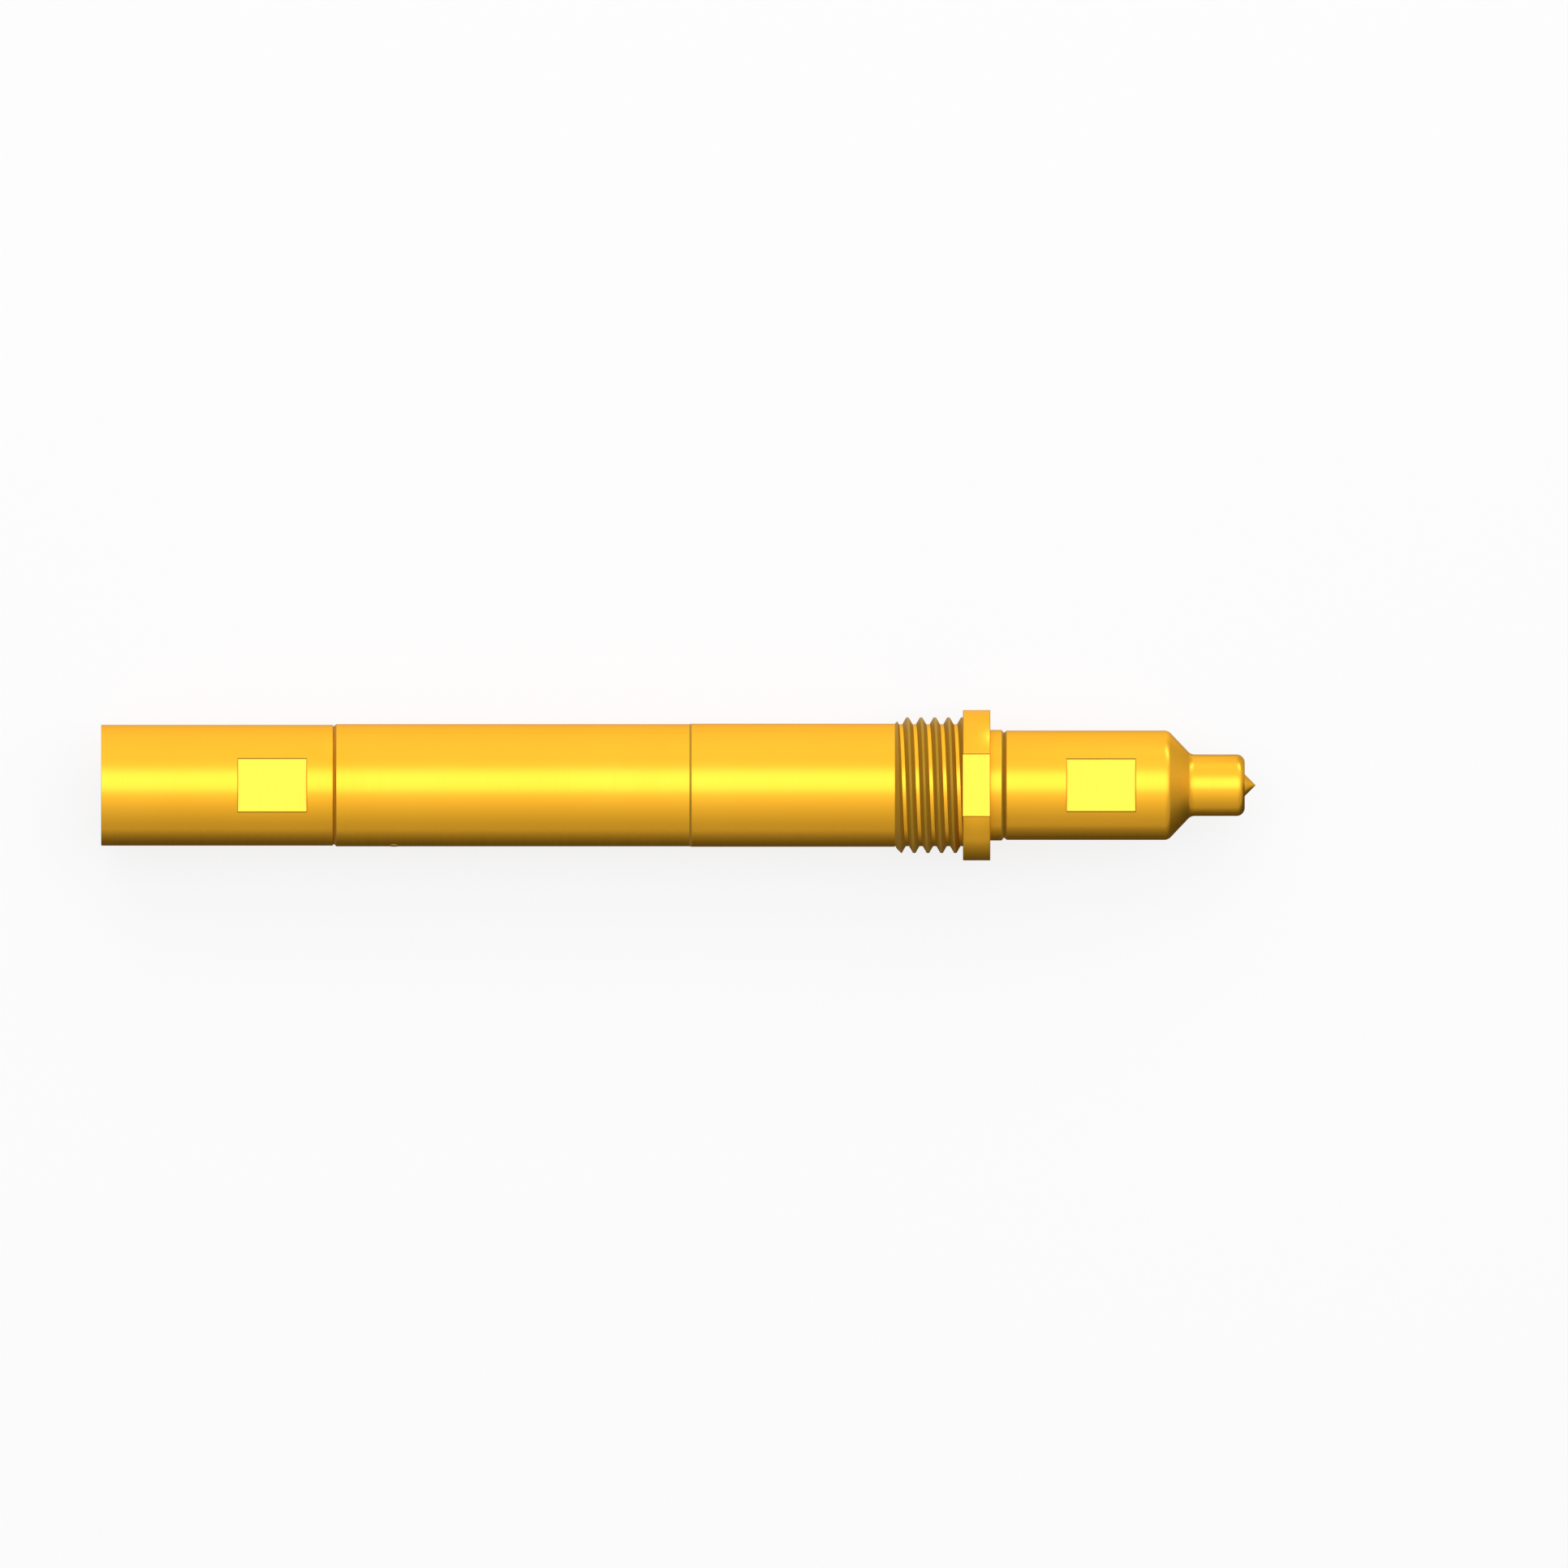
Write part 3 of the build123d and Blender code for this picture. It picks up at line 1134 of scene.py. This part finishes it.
# 1 for what the camera sees, straight or in a mirror or through glass, and 0 for light that spreads
def seenDirectly(nodes, links):
    path = nodes.new("ShaderNodeLightPath")
    total = path.outputs["Is Camera Ray"]
    for kind in ("Is Glossy Ray", "Is Transmission Ray"):
        total = calculate(nodes, links, "ADD", total, path.outputs[kind])
    total.node.use_clamp = True
    return total


def makeSheet(name, corners, height):
    shape = bmesh.new()
    bmesh.ops.create_grid(shape, x_segments=1, y_segments=1, size=0.5)
    (left, near), (right, far) = corners
    bmesh.ops.scale(shape, vec=(right - left, far - near, 1), verts=shape.verts)
    bmesh.ops.translate(shape, vec=((left + right) / 2, (near + far) / 2, height), verts=shape.verts)
    sheet = looseObject(shape, name)
    return sheet


def makeFloor():
    half = floorLook["size"]
    floor = makeSheet("studioFloor", ((-half, -half), (half, half)), cadBox[0].z)
    material, nodes, links, shader, _ = startMaterial("floorPaper")
    shader.inputs["Base Color"].default_value = (*floorLook["colour"], 1)
    shader.inputs["Roughness"].default_value = 1.0
    shader.inputs["Specular IOR Level"].default_value = 0.0
    white = nodes.new("ShaderNodeEmission")
    mix = nodes.new("ShaderNodeMixShader")
    whitened = calculate(nodes, links, "MULTIPLY", seenDirectly(nodes, links), floorLook["whitening"])
    links.new(whitened, mix.inputs["Fac"])
    links.new(shader.outputs["BSDF"], mix.inputs[1])
    links.new(white.outputs["Emission"], mix.inputs[2])
    links.new(mix.outputs["Shader"], nodes["Material Output"].inputs["Surface"])
    floor.data.materials.append(material)


makeFloor()

# Cards that lie along the probe and show only in the metal: a shade card darkens its near edge,
# a white card keeps its far edge bright, and a grey one tones down the cone

cards = {
    "rear": cadBox[0].x - 0.03,
    "tip": cadBox[1].x,
    "front": cadBox[1].x + 0.05,
    "reach": 0.06,  # to each side of the axis
    "lift": 0.00002,
}
shadeLevels = ((0.0, 0.06), (0.08, 0.09), (0.12, 0.17), (0.22, 0.3), (0.5, 0.42), (1.0, 0.47))
whiteLevels = ((0.0, 0.3), (0.035, 0.45), (0.075, 1.0), (0.2, 1.12), (1.0, 1.17))
greyLevels = ((0.0, 0.5), (0.1, 0.62), (1.0, 0.66))


def makeCard(name, side, left, right, levels):
    reach = cards["reach"]
    near, far = sorted((0, side * reach))
    corners = ((cards[left], near), (cards[right], far))
    card = makeSheet(name, corners, cadBox[0].z + cards["lift"])
    material, nodes, links, _, place = startMaterial(name)
    parts = nodes.new("ShaderNodeSeparateXYZ")
    links.new(place, parts.inputs["Vector"])
    ramp = nodes.new("ShaderNodeValToRGB")
    links.new(calculate(nodes, links, "MULTIPLY", parts.outputs["Y"], side / reach), ramp.inputs["Fac"])
    stops = ramp.color_ramp.elements
    while len(stops) < len(levels):
        stops.new(0.5)
    for stop, (position, level) in zip(stops, levels):
        stop.position = position
        stop.color = (level, level, level, 1)
    glow = nodes.new("ShaderNodeEmission")
    links.new(ramp.outputs["Color"], glow.inputs["Color"])
    links.new(glow.outputs["Emission"], nodes["Material Output"].inputs["Surface"])
    card.data.materials.append(material)
    card.visible_camera = False
    card.visible_diffuse = False
    card.visible_shadow = False


makeCard("shadeCard", -1, "rear", "front", shadeLevels)
makeCard("whiteCard", 1, "rear", "tip", whiteLevels)
makeCard("greyCard", 1, "tip", "front", greyLevels)

# Light: a graded room, a long soft box overhead, a large side lamp and a small spark lamp

room = {
    "middle": 0.825,
    "towardsFar": 0.355,  # brighter on the +Y side
    "upward": 0.41,
    "towardsEnds": -0.24,
    "brightest": 1.17,
    "spreading": 0.45,  # share of its brightness that lights matt surfaces
    "behind": 0.955,  # as the camera sees it past the floor's edge
    "tint": (1.0, 1.0, 0.88),
}


def makeRoom():
    r = room
    world = bpy.data.worlds.new("gradedRoom")
    bpy.context.scene.world = world
    world.use_nodes = True
    nodes, links = world.node_tree.nodes, world.node_tree.links
    background = nodes["Background"]
    coordinates = nodes.new("ShaderNodeTexCoord")
    parts = nodes.new("ShaderNodeSeparateXYZ")
    links.new(coordinates.outputs["Generated"], parts.inputs["Vector"])
    endwards = calculate(nodes, links, "ABSOLUTE", parts.outputs["X"])
    level = calculate(nodes, links, "MULTIPLY_ADD", parts.outputs["Y"], r["towardsFar"], r["middle"])
    level = calculate(nodes, links, "MULTIPLY_ADD", parts.outputs["Z"], r["upward"], level)
    level = calculate(nodes, links, "MULTIPLY_ADD", endwards, r["towardsEnds"], level)
    level = calculate(nodes, links, "MINIMUM", level, r["brightest"])
    share = nodes.new("ShaderNodeMapRange")
    share.inputs["To Min"].default_value = r["spreading"]
    links.new(seenDirectly(nodes, links), share.inputs["Value"])
    level = calculate(nodes, links, "MULTIPLY", level, share.outputs["Result"])
    path = nodes.new("ShaderNodeLightPath")
    behind = calculate(nodes, links, "MULTIPLY", path.outputs["Is Camera Ray"], r["behind"])
    level = calculate(nodes, links, "MAXIMUM", level, behind)
    links.new(level, background.inputs["Strength"])
    tint = mixColour(nodes, links, path.outputs["Is Camera Ray"], r["tint"], (1, 1, 1))
    links.new(tint, background.inputs["Color"])


makeRoom()

softBox = {
    "distance": 0.12,
    "direction": (0, 0.155, 0.988),
    "long": 0.36,
    "wide": 0.086,
    "level": 1.08,
    "colour": (1.0, 1.0, 1.3),
}
sideLamp = {
    "distance": 0.25,
    "direction": (0, 0.79, 0.61),
    "long": 0.3,
    "wide": 0.16,
    "level": 1.5,
    "colour": (1.0, 1.0, 1.0),
}
sparkLamp = {
    "distance": 0.25,
    "direction": (0.47, 0.87, 0.13),
    "long": 0.15,
    "wide": 0.06,
    "level": 2.6,
    "colour": (1.0, 1.0, 1.3),
}


# An area lamp aimed at a place on the axis; its level is its brightness as seen
def addLamp(name, setting, aim, inMetal):
    lamp = bpy.data.lights.new(name, "AREA")
    lamp.shape = "RECTANGLE"
    lamp.size = setting["long"]
    lamp.size_y = setting["wide"]
    lamp.energy = setting["level"] * math.pi * setting["long"] * setting["wide"]
    lamp.color = setting["colour"]
    holder = bpy.data.objects.new(name, lamp)
    bpy.context.scene.collection.objects.link(holder)
    direction = Vector(setting["direction"]).normalized()
    holder.location = Vector((aim, 0, 0)) + direction * setting["distance"]
    holder.rotation_euler = direction.to_track_quat("Z", "Y").to_euler()
    holder.visible_camera = False
    holder.visible_glossy = inMetal


probeMiddle = (cadBox[0].x + cadBox[1].x) / 2
addLamp("overheadBox", softBox, probeMiddle, True)
addLamp("sideBox", sideLamp, probeMiddle, False)
addLamp("sparkBox", sparkLamp, head["shoulder"] * mm, True)
print("floor and light made")

# Camera, at the photograph's framing

photo = {"pixels": 1932, "pixelsPerMm": 33.71, "seatColumn": 1186.5, "axisRow": 967.5, "height": 0.1}


def makeCamera():
    camera = bpy.data.cameras.new("topCamera")
    camera.type = "ORTHO"
    camera.ortho_scale = photo["pixels"] / photo["pixelsPerMm"] * mm
    camera.clip_start = mm
    holder = bpy.data.objects.new("topCamera", camera)
    bpy.context.scene.collection.objects.link(holder)
    half = photo["pixels"] / 2
    holder.location = (
        (half - photo["seatColumn"]) / photo["pixelsPerMm"] * mm,
        (photo["axisRow"] - half) / photo["pixelsPerMm"] * mm,
        photo["height"],
    )
    bpy.context.scene.camera = holder


makeCamera()
bpy.context.scene.view_settings.view_transform = "Standard"
